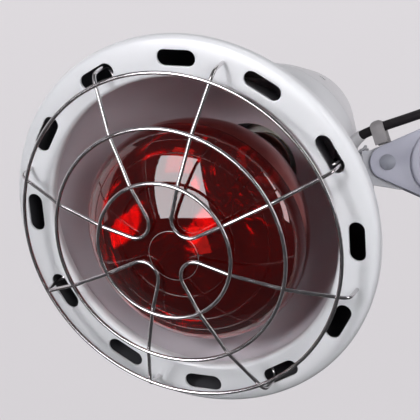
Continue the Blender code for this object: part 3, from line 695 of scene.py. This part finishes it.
def lead_to_plug():
    """Along the arm, down into the coil that the tie holds, and out of it to the plug."""
    rear = heading(REAR_CLIP_LEAN)
    coil = coil_points()
    down = [REAR_CLIP_POINT + rear * LEAD_GAP, REAR_CLIP_POINT + rear * 7, Vector((50, 2.6, 29.4)),
            Vector((60, 7.4, 24.0)), Vector((70, 11.2, 16.4)), Vector((80, 12.9, 8.4)),
            Vector((92, 13.0, 1.6)), Vector((104, 12.9, -5.6)), Vector((115.5, 12.4, -15.0)),
            Vector((123, 9.8, -28.0)), Vector((COIL_X + COIL_R + 6.2, 6.6, COIL_Z + 9.5)), *coil[:2]]
    tail = [*coil[-2:], Vector((113.5, -9.4, COIL_Z - 1)), Vector((114.2, -11.9, -58)),
            Vector((114.0, -12.2, -70)), Vector((113.2, -12.2, -84)), Vector((112.4, -10.8, -98)),
            Vector((112, -8.5, -112)), PLUG_TOP + Vector((0, 0, 0.3))]
    path = smooth_route(down, 4.0)[:-1] + coil[1:-1] + smooth_route(tail, 4.0)[1:]
    place_cord("lead_arm_cord", path,
               ["lead_arm", "lead_coil", "lead_tail"])


# ---------------------------------------------------------------- shade, cap and bracket

def slot_cutters():
    """Twelve round-ended slots, with their length along the ring."""
    bm = bmesh.new()
    half = SLOT_LENGTH / 2 - SLOT_WIDTH / 2
    ends = arc((0, half), SLOT_WIDTH / 2, 0, 180, 13) + arc((0, -half), SLOT_WIDTH / 2, 180, 360, 13)
    for k in range(12):
        turn = radians(SLOT_FIRST + 30 * k)
        middle = polar(SLOT_R, SLOT_FIRST + 30 * k)
        outline = [(middle.x + x * cos(turn) - y * sin(turn), middle.y + x * sin(turn) + y * cos(turn))
                   for x, y in ends]
        add_prism(bm, outline, -4.0, 5.0)
    return to_object("slot_cutter", bm, LAMP)


def front_ring():
    """The spun closing ring: a rolled rim, a flat band with twelve slots and a rolled mouth."""
    rim_roll, mouth_roll, face = 3.4, 2.6, 1.2
    outside = [(RIM_R - 0.3, -6.0)]
    outside += arc((RIM_R - rim_roll, -2.6), rim_roll, 0, 70, 9)
    outside += [(101.5, 0.95), (98.8, face), (88.5, face)]
    outside += arc((OPENING_R + mouth_roll, -1.5), mouth_roll, 84, 180, 9)
    outside += [(OPENING_R, -4.6)]
    ring = turned("front_ring_shell", wall(outside, -SHEET), LAMP, steps=192)
    boolean(ring, "DIFFERENCE", slot_cutters())
    dress(soften(ring, 0.45, 3, 50), "front_ring")


def shade():
    """The spun cone, its shoulder and the collar that the cap fits over."""
    outer = [(104.0, -4.0), (101.8, -12.0), (91.5, -31.0), (79.9, -52.2), (68.1, -74.0), (56.9, -94.6)]
    shoulder = [(54.2, -98.9), (52.9, -103.2), (COLLAR_R, -108.0), (COLLAR_R, CAP_FRONT + GAP)]
    profile = outer[:2] + smooth_profile(outer[2:] + shoulder[:3], 6) + shoulder[3:]
    shell = turned("shade_shell", wall(profile, 1.4), LAMP, steps=160)
    hole = rod("gland_hole", 6.0, -6, 12, GLAND)
    dress(soften(boolean(shell, "DIFFERENCE", hole), 0.35, 2, 50), "outer_shade")
    paint_shadow_inside(shell)


def paint_shadow_inside(shell):
    """Painted shade: near-black enamel on the faces that look towards the lamp's axis, standing in for the
    shade in the closed space behind the slots.
    """
    shell.data.materials.append(MATERIALS["painted_shade_dark"])
    into_lamp = LAMP.inverted()
    for face in shell.data.polygons:
        outward = (into_lamp @ face.center).xy.dot((into_lamp.to_3x3() @ face.normal).xy)
        face.material_index = 1 if outward < 0 else 0


def reflector():
    """The spun bowl between the shade's mouth and the bulb's neck."""
    bowl = [(84.6, -5.0), (83.4, -11.0), (81.2, -19.0), (77.6, -30.0), (72.9, -41.0), (67.2, -52.0),
            (60.2, -62.0), (52.4, -72.0), (43.5, -81.0), (34.0, -88.4), (27.0, -92.0)]
    spun = turned("reflector_bowl", wall(smooth_profile(bowl, 5), -1.0), LAMP, steps=160)
    dress(spun, "inner_reflector")


def rear_cap():
    """A spun cap with six vents round it, two screws in its back and a lip inside the shade's collar."""
    lip, lip_wall, lip_front, vent_at, vent_lean = COLLAR_R - 1.9, 1.6, -121.0, 44.3, 68
    outside = [(COLLAR_R - 0.1, CAP_FRONT), (COLLAR_R - 0.5, CAP_FRONT - 1.4), (50.9, -134.0), (47.4, -144.5),
               (43.2, -155.0), (39.0, -165.5), (35.6, -174.0)]
    back = arc((27.6, CAP_BACK + 7.0), 7.0, -22, -90, 9)
    inside = [(25.6, CAP_BACK + CAP_WALL), (31.6, -177.6), (35.4, -169.6), (47.3, -139.7),
              (lip - lip_wall, -127.0), (lip - lip_wall, lip_front)]
    profile = [(0, CAP_BACK + CAP_WALL), *inside, (lip, lip_front), (lip, CAP_FRONT), *outside, *back,
               (0, CAP_BACK)]
    cap = turned("rear_cap_shell", profile, LAMP, steps=128)
    cutters = []
    for k in range(6):
        angle = VENT_FIRST + 60 * k
        at = frame_at(LAMP, polar(vent_at, angle, VENT_Z), (0, vent_lean, angle))
        cutters.append(rod(f"vent_{k}", VENT_R, -8, 8, at, 24))
    for k, x in enumerate((-SCREW_X, SCREW_X)):
        cutters.append(rod(f"screw_hole_{k}", 2.2, -6, 6, frame_at(LAMP, (x, 0, CAP_BACK)), 24))
    dress(soften(boolean(cap, "DIFFERENCE", *cutters), 0.3, 2, 50), "rear_cap")
    for k, x in enumerate((-SCREW_X, SCREW_X), 1):
        screw(f"cap_screw_{k}", frame_at(LAMP, (x, 0, 0)), 20 + 50 * k)


def screw(node, at, turn):
    """A pan-head screw with a cross recess."""
    head_r, shank_r, head, tip = 3.8, 1.8, CAP_BACK - GAP, CAP_BACK + 11
    dome = arc((0, head + 1.4), head_r, -90, -22, 8)
    profile = [(0, dome[0][1]), *dome[1:], (head_r, head), (shank_r, head), (shank_r, tip), (0, tip)]
    body = turned(f"{node}_head", profile, at, steps=40)
    base = frame_at(at, (0, 0, head - 3.2), (0, 0, turn))
    bars = []
    for i in range(2):
        across = frame_at(base, rotation=(0, 0, 90 * i))
        bars.append(block(f"{node}_bar_{i}", (-1.9, -0.35, -2), (1.9, 0.35, 1.9), across))
    dress(soften(boolean(body, "DIFFERENCE", *bars), 0.12, 2, 45), node)


def bracket():
    """A folded channel whose legs are cut to the shade's side."""
    front, rear, low, high, sheet = -81.0, -104.0, -19.0, 8.0, 2.0
    channel = block("bracket_channel", (48, low, rear), (BRACKET_FACE, high, front), LAMP)
    hollow = block("bracket_hollow", (40, low - 5, rear + sheet),
                   (BRACKET_FACE - sheet, high + 5, front - sheet), LAMP)
    outer = [(104.0, -4.0), (101.8, -12.0), (56.4, -95.4), (54.0, -99.0), (52.9, -103.0), (COLLAR_R, -108.0),
             (COLLAR_R, CAP_FRONT)]
    skin = [(0, 10)] + [(r + GAP, z) for r, z in [(107, 10), *outer]] + [(0, -130)]
    body = turned("bracket_skin", skin, LAMP, steps=160)
    hole = rod("stud_hole", 4.3, 60, 80, frame_at(LAMP, (0, 0, -SWIVEL_BACK), (0, 90, 0)))
    notch = rod("lead_notch", 6.4, -14, 24, GLAND)
    boolean(channel, "DIFFERENCE", hollow, body, hole, notch)
    dress(soften(channel, 0.7, 3), "mount_bracket")


# ---------------------------------------------------------------- lampholder and bulb

def lampholder():
    """A ribbed porcelain cup, open towards the bulb."""
    front, back = -113.0 - SOCKET_Z, -147.0 - SOCKET_Z
    outer, groove, bore, hole = 20.0, 19.3, 14.7, 2.0
    ribs = []
    for k in range(5):
        at = front - 7 - 4.4 * k
        ribs += [(outer, at), (groove, at - 0.9), (groove, at - 1.8), (outer, at - 2.7)]
    cup = [(bore, front), (19.0, front), (outer, front - 1.5), *ribs, (outer, back + 4), (17.0, back),
           (hole, back), (hole, back + 4.3), (bore, back + 4.3)]
    dress(soften(turned("lampholder_porcelain", cup, BULB), 0.4, 2, 30), "lampholder_body")


def dome_height(radius):
    """The dome's outside, above the bulb's widest circle."""
    return BULB_DOME * (1 - min(radius / BULB_R, 1.0) ** 2.2) ** 0.5 + GAP


def bulb_mark():
    """A plain printed ring on the dome, where such bulbs carry their rating."""
    circle = [polar(MARK_R, 5 * k, dome_height(MARK_R) + 0.02) for k in range(72)]
    ring = tube("bulb_mark_ring", circle, MARK_LINE, WIDEST, sides=6, cyclic=True)
    dress(ring, finish="solder", body="bulb")


def bulb_glass():
    """A clear red dome in front of the widest circle, and a mirrored back behind it."""
    front_wall, back_wall = 1.1, 1.0
    dome = []
    for k in range(25):
        r = BULB_R * cos(radians(90 * k / 24)) if k < 24 else 0.0
        dome.append((r, dome_height(r)))
    inner = [(max(r - front_wall, 0.0), z - front_wall) for r, z in dome]
    inner[0] = (BULB_R - front_wall, dome[0][1])
    dress(turned("bulb_ruby_front", dome + inner[::-1], WIDEST, steps=160, sharp=60), "bulb_front_glass")
    back = [(BULB_R, 0.0), (62.0, -6.5), (60.6, -13.0), (57.6, -22.0), (53.6, -31.0), (48.4, -40.0),
            (42.6, -49.0), (36.6, -58.5), (30.6, -68.0), (25.8, -77.0), (22.4, -86.0), (20.6, -94.0),
            (19.4, -101.0), (17.2, -105.5)]
    shell = wall(smooth_profile(back, 4), back_wall)
    dress(turned("bulb_mirror_back", shell, WIDEST, steps=160, sharp=60), "bulb_rear_glass")


def bulb_cap():
    """An E27 screw cap, its thread drawn as rolled rings."""
    thread_r, thread_depth, pitch = 12.7, 0.42, 3.6
    cap = [(11.0, -106.0), (16.6, -106.0), (16.6, -108.5), (13.1, -112.5)]
    for k in range(24):
        cap.append((thread_r + thread_depth * cos(pi * k / 2), -114.0 - pitch * k / 4))
    cap += [(12.6, -135.4), (9.5, -136.0), (9.5, -134.5), (11.0, -133.0)]
    dress(turned("bulb_cap_thread", cap, WIDEST), "bulb_screw_cap")


def bulb_inside():
    """The glass stem, and a coiled filament in an open ring on two supports."""
    stem = [(0, -40.0), (2.4, -40.3), (3.3, -42.0), (3.6, -46.0), (3.6, -80.0), (4.6, -92.0), (8.0, -104.0),
            (0, -104.0)]
    dress(turned("bulb_stem_press", stem, WIDEST, 48), "bulb_stem")
    turns, per_turn, first, last, coil_r = 40, 12, 30, 330, 0.75
    coil = []
    for k in range(turns * per_turn + 1):
        sweep = first + (last - first) * k / (turns * per_turn)
        wind = 2 * pi * k / per_turn
        coil.append(polar(FILAMENT_R + coil_r * cos(wind), sweep, FILAMENT_Z + coil_r * sin(wind)))
    dress(tube("bulb_filament_wire", coil, 0.16, WIDEST, sides=5), "bulb_filament")
    for k, angle in enumerate((first, last), 1):
        route = [polar(4.0, angle, -47), polar(6.0, angle, -42), polar(9.0, angle, -34),
                 polar(FILAMENT_R, angle, FILAMENT_Z - 0.6)]
        dress(tube(f"bulb_support_wire_{k}", smooth_route(route, 1.5), 0.55, WIDEST, 8), f"bulb_support_{k}")


# ---------------------------------------------------------------- wire guard

def guard_height(radius):
    """How high a loop runs, welded under the rings and bowed towards the middle."""
    under = [(r, z - 2 * WIRE_R + 0.15) for r, z in GUARD_RINGS] + [(0.0, 33.9)]
    for (r1, z1), (r0, z0) in zip(under, under[1:]):
        if radius >= r0:
            return z0 + (z1 - z0) * (radius - r0) / (r1 - r0)
    return under[-1][1]


def guard_leg(angle, hooked):
    """Out along the rings and down: into a slot with a hook, or to rest on the closing ring."""
    radii = (24.0, 30.0, 37.8, 47.0, 56.0, 65.6, 74.0, 83.0, 89.5)
    leg = [polar(r, angle, guard_height(r)) for r in radii]
    leg += [polar(93.6, angle, 15.2), polar(96.3, angle, 12.4), polar(97.0, angle, 8.5)]
    if hooked:
        return leg + [polar(r, angle, z) for r, z in ((96.9, 0.6), (96.0, -2.4), (93.8, -4.0), (90.5, -3.9))]
    return leg + [polar(97.2, angle, 1.7)]


def guard():
    for name, (radius, height) in zip(("outer", "middle", "inner"), GUARD_RINGS):
        circle = [polar(radius, 360 * k / 144, height) for k in range(144)]
        ring = tube(f"guard_ring_wire_{name}", circle, WIRE_R, LAMP, sides=12, cyclic=True)
        dress(ring, f"guard_ring_{name}")
    turn = LOOP_CENTRE * sin(radians(LOOP_SPREAD))
    swing = 90 - LOOP_SPREAD
    for k in range(4):
        middle = 45 + 90 * k
        first = guard_leg(middle - LOOP_SPREAD, hooked=True)
        last = guard_leg(middle + LOOP_SPREAD, hooked=False)
        centre = polar(LOOP_CENTRE, middle)
        bend = [centre + polar(turn, middle + 180 + swing * (1 - i / 6)) for i in range(13)]
        for point in bend:
            point.z = guard_height(hypot(point.x, point.y))
        route = smooth_route(first[::-1] + bend + last, 1.6)
        dress(tube(f"guard_loop_wire_{k + 1}", route, WIRE_R, LAMP, sides=12), f"guard_loop_{k + 1}")


# ---------------------------------------------------------------- yoke, cheeks and pivots

def yoke():
    """A tongue on the rivet, with a plate and a stud towards the bracket and a land for the front clip."""
    land = Vector((cos(radians(CLIP_LEAN)), sin(radians(CLIP_LEAN))))
    under = CLIP_POINT.xz + land.orthogonal() * -(CLIP_HEIGHT + 0.9)
    right, left = under + land * 5.6, under - land * 6.0
    corners = [(-14.0, -11.6, 0.5), (10.0, -15.6, 1.5), (10.0, 5.0, 2.0), (*right, 1.5), (*left, 1.0),
               (-9.0, 6.9, 0.5), (-14.0, 6.4, 0.5)]
    tongue = prism("yoke_casting", rounded(corners), -TONGUE, TONGUE, UPRIGHT)
    near = BRACKET_FACE + GAP
    face = [(-17.6, -99.5), (-17.6, -87.0), (-12.6, -82.0), (7.6, -82.0), (7.6, -99.5)]
    plate = prism("yoke_plate", face, near, near + 2.2, frame_at(LAMP, rotation=(90, 0, 90)))
    stud = rod("yoke_stud", 3.9, -SWIVEL_OUT + near - 8.4, -9.5, frame_at(SWIVEL, rotation=(0, 90, 0)))
    behind = block("yoke_back", (-40, -30, -30), (near - SWIVEL_OUT, 30, 30), SWIVEL)
    hole = rod("yoke_rivet_hole", RIVET_HOLE, -12, 12, UPRIGHT)
    relief = rod("yoke_relief", SMALL_END + 0.5, -15, -TONGUE, UPRIGHT)
    boolean(tongue, "DIFFERENCE", behind)
    boolean(tongue, "UNION", plate, stud)
    boolean(tongue, "DIFFERENCE", hole, relief)
    dress(soften(tongue, 0.6, 3), "yoke")


def teardrop():
    """Two round ends joined by the straight lines that touch them both."""
    growth = BIG_END - SMALL_END
    lean = 90 + degrees(atan2(growth, (CHEEK_PITCH ** 2 - growth ** 2) ** 0.5))
    small = arc((0, 0), SMALL_END, lean, 360 - lean, 25)
    return small + arc((CHEEK_PITCH, 0), BIG_END, -lean, lean, 49)


def cheek(name, side):
    """A teardrop plate with a soft pressed edge."""
    low, high = (CHEEK_IN, CHEEK_OUT) if side > 0 else (-CHEEK_OUT, -CHEEK_IN)
    plate = prism(f"{name}_plate", teardrop(), low, high, UPRIGHT)
    bolt_line = frame_at(TILT, (CHEEK_PITCH, 0, 0), (90, 0, 0))
    holes = [rod(f"{name}_rivet_hole", RIVET_HOLE, -14, 14, UPRIGHT),
             rod(f"{name}_bolt_hole", BOLT_HOLE, -14, 14, bolt_line)]
    boolean(plate, "DIFFERENCE", *holes)
    dress(soften(plate, 0.6, 4), name)


def rivet():
    """A round head on each side of the cheeks, on one shank."""
    head = CHEEK_OUT + GAP
    dome = [(3.9, head), (4.4, head + 0.15), (4.4, head + 0.75)] + arc((0, head - 4.2), 6.55, 46, 90, 8)
    dome[-1] = (0, dome[-1][1])
    side = [(2.9, 0), (2.9, head), *dome]
    profile = [(r, -z) for r, z in side[:0:-1]] + side[1:]
    body = turned("tilt_rivet_head", profile, UPRIGHT, steps=48)
    dress(soften(body, 0.25, 2, 30), "tilt_rivet")


def disc_cover():
    """A pressed disc with a turned-down edge and a groove round its face."""
    face = CHEEK_OUT + GAP
    cover = [(0, face), (DISC_R, face), (DISC_R, face + 1.6)]
    cover += arc((DISC_R - 1.2, face + 1.6), 1.2, 10, 90, 5)
    cover += [(DISC_R - 3.2, face + 2.8), (DISC_R - 3.8, face + 2.3), (DISC_R - 5.0, face + 2.3),
              (DISC_R - 5.6, face + 2.9), (0, face + 3.0)]
    at = frame_at(PIVOT, rotation=(90, 0, 0))
    dress(soften(turned("disc_cover_pressing", cover, at), 0.2, 2, 30), "disc_cover")


def clamp_knob():
    """A six-lobed hand knob with a hub and a dished face."""
    lobes = []
    for k in range(144):
        angle = 2.5 * k
        lobes.append(tuple(polar(16.2 + 1.8 * cos(radians(6 * angle)), angle).xy))
    far = frame_at(PIVOT, rotation=(-90, 0, 0))
    knob = prism("clamp_knob_moulding", lobes, 12.0, 24.0, far)
    hub = rod("knob_hub", 8.0, CHEEK_OUT + 1.8, 14.0, far, 48)
    bore = rod("knob_bore", 4.3, 5.0, 20.0, far)
    dish = turned("knob_dish", [(0, 22.6), (9.5, 22.6), (11.0, 25.0), (0, 25.0)], far, 48)
    boolean(knob, "UNION", hub)
    boolean(knob, "DIFFERENCE", bore, dish)
    dress(soften(knob, 0.8, 3, 35), "clamp_knob")


# ---------------------------------------------------------------- arm

def arm_knuckle():
    """A round tongue between the cheeks, a neck, and a collar with a stub inside the tube."""
    across, along = frame_at(PIVOT, rotation=(90, 0, 0)), frame_at(PIVOT, rotation=(0, 90, 0))
    knuckle = rod("knuckle_casting", 14.0, -TONGUE, TONGUE, across, 64)
    neck = block("knuckle_neck", (0, -TONGUE, -7.0), (28, TONGUE, 7.0), PIVOT)
    barrel = [(0, 25), (6, 25), (11.0, 29), (11.5, 31), (11.5, 36), (7.7, 36), (7.7, 50), (0, 50)]
    collar = turned("knuckle_collar", barrel, along, 64)
    bore = rod("knuckle_bore", BOLT_HOLE, -12, 12, across)
    boolean(knuckle, "UNION", neck, collar)
    boolean(knuckle, "DIFFERENCE", bore)
    dress(soften(knuckle, 0.6, 3), "arm_knuckle")


def arm_tube_and_spigot():
    """A drawn tube, and a turned spigot with a shoulder against its end and a groove."""
    along = frame_at(PIVOT, rotation=(0, 90, 0))
    collar, shoulder, stub_r, spigot_r, groove_r = 36.0, ARM_REACH - 35.0, 7.7, 8.0, 7.0
    pipe = [(TUBE_BORE, collar + GAP), (TUBE_R, collar + GAP), (TUBE_R, shoulder - GAP),
            (TUBE_BORE, shoulder - GAP)]
    dress(soften(turned("arm_tube_drawn", pipe, along), 0.35, 3), "arm_tube")
    spigot = [(0, shoulder - 14), (stub_r, shoulder - 14), (stub_r, shoulder), (TUBE_R, shoulder),
              (TUBE_R, shoulder + 3), (spigot_r, shoulder + 3), (spigot_r, shoulder + 15),
              (groove_r, shoulder + 16), (groove_r, shoulder + 20), (spigot_r, shoulder + 21),
              (spigot_r, ARM_REACH - 1), (groove_r, ARM_REACH), (0, ARM_REACH)]
    dress(soften(turned("end_spigot_turning", spigot, along), 0.3, 3, 30), "end_spigot")


# ---------------------------------------------------------------- clips, tie and plug

def arch(node, point, lean, yaw, height, foot):
    """A strap over the lead, with its crown rounded from front to back and feet at its base."""
    inner, outer, half_width, foot_top = CORD_R + 0.12, CLIP_SIDE, 3.75, 1.4 - height
    top, under = arc((0, 0), outer, 0, 180, 25), arc((0, 0), inner, 180, 0, 25)
    outline = [(foot, -height), (foot, foot_top), (outer, foot_top), *top, (-outer, foot_top),
               (-foot, foot_top), (-foot, -height), (-inner, -height), *under, (inner, -height)]
    at = frame_at(TILT, point, (90 - lean, 0, 90 + yaw))
    strap = prism(f"{node}_strap", outline, -half_width, half_width, at)
    edge, below = half_width + 0.05, -height - 1
    side = [(-edge, below, 0.2), (edge, below, 0.2), (edge, outer, 3.4), (-edge, outer, 3.4)]
    crown = prism(f"{node}_crown", rounded(side, 10), -12, 12, frame_at(at, rotation=(0, 90, 0)))
    dress(soften(boolean(strap, "INTERSECT", crown), 0.45, 3), node)


def clips():
    arch("cable_clip_front", CLIP_POINT, CLIP_LEAN, CLIP_YAW, CLIP_HEIGHT, CLIP_SIDE)
    arch("cable_clip_rear", REAR_CLIP_POINT, REAR_CLIP_LEAN, 0, REAR_CLIP_POINT.z - BIG_END - 0.6, 9.0)


def lead_gland():
    collar = [(3.1, -1.6), (5.6, -1.6), (5.6, 0.4), (5.3, 1.4), (3.1, 1.4)]
    dress(soften(turned("lead_gland_collar", collar, GLAND, 48), 0.25, 2), "lead_gland")


def box_outline(left, low, right, high, corner_r):
    corners = ((left, low), (right, low), (right, high), (left, high))
    return rounded([(x, y, corner_r) for x, y in corners], 8)


def coil_tie():
    """A fabric loop round the arm's tube and the top of the coil."""
    left, low, right, high, fabric = -11.4, -30.4, 17.4, 11.8, 1.2
    side = frame_at(TILT, rotation=(90, 0, 90))
    strap = prism("coil_tie_strap", box_outline(left, low, right, high, 5.0), COIL_X - 6, COIL_X + 6, side)
    inset = box_outline(left + fabric, low + fabric, right - fabric, high - fabric, 4.0)
    gap = prism("coil_tie_gap", inset, COIL_X - 12, COIL_X + 12, side)
    dress(soften(boolean(strap, "DIFFERENCE", gap), 0.35, 2), "coil_tie")


def plug():
    """A two-pin plug with a ribbed neck and four finger grooves on each face."""
    at = frame_at(TILT, PLUG_TOP)
    half_width, half_depth = 14.0, 8.0
    outline = box_outline(-half_width, -half_depth, half_width, half_depth, 5.0)
    body = prism("plug_moulding", outline, -40.0, -14.0, at)
    neck = [(0, -16), (7.5, -16)]
    for k in range(5):
        z, r = -13.0 + 2.6 * k, 7.0 - 0.6 * k
        neck += [(r, z), (r - 0.15, z + 1.5), (r - 0.9, z + 1.7), (r - 0.9, z + 2.4)]
    neck += [(4.2, 0), (0, 0)]
    grips = []
    for side in (-1, 1):
        for k in range(4):
            y, z = side * half_depth, -22.0 - 4 * k
            grips.append(block(f"plug_grip_{side}_{k}", (-9, y - 0.5, z), (9, y + 0.5, z + 1.6), at))
    boolean(body, "UNION", turned("plug_neck", neck, at, 48))
    boolean(body, "DIFFERENCE", *grips)
    dress(soften(body, 0.5, 3), "plug_body")


# ---------------------------------------------------------------- the whole scene

def lamp_head():
    front_ring()
    shade()
    reflector()
    rear_cap()
    bracket()
    lampholder()
    bulb_glass()
    bulb_cap()
    bulb_inside()
    bulb_mark()
    guard()


def joint_and_arm():
    yoke()
    cheek("cheek_near", 1)
    cheek("cheek_far", -1)
    rivet()
    disc_cover()
    clamp_knob()
    arm_knuckle()
    arm_tube_and_spigot()


def lead():
    clips()
    lead_gland()
    coil_tie()
    plug()
    lead_from_head()
    lead_over_cheek()
    lead_to_plug()


make_materials()
studio()
lamp_head()
joint_and_arm()
lead()
dress_the_rest()
